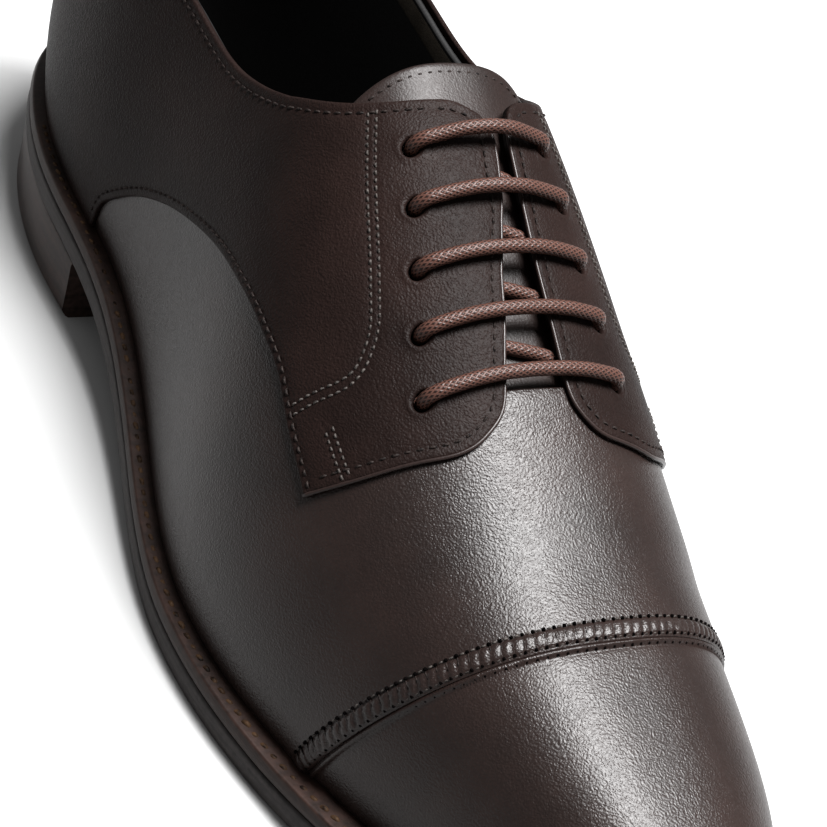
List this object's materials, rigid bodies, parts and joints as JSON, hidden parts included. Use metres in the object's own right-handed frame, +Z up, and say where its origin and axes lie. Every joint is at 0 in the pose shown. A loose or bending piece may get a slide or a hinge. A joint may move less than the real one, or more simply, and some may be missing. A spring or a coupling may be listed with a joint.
{
  "type": "derby shoe",
  "caption": "Right lace-up dress shoe with a toe cap, open throat with laced facings, stitched welt and low block heel.",
  "frame": {"origin": "centre of the bounding box on the floor", "axes": "+X from heel to toe, +Y to the medial side, +Z up"},
  "size_m": [0.3034, 0.1012, 0.102],
  "materials": {
    "outsole": "dark grey sole edge, satin",
    "welt": "dark brown welt with stitched top face",
    "heel": "burnished stack with faint streaks",
    "lining": "matt black lining",
    "upper_leather": "fine grained, soft polish",
    "lace": "round waxed braid"
  },
  "bodies": {
    "root": {"outsole": "outsole", "welt": "welt", "heel_block": "heel", "insole": "lining", "upper": "upper_leather", "tongue": "upper_leather", "lace_bar_1": "lace", "lace_bar_2": "lace", "lace_bar_3": "lace", "lace_bar_4": "lace", "lace_bar_5": "lace"}
  },
  "joints": []
}
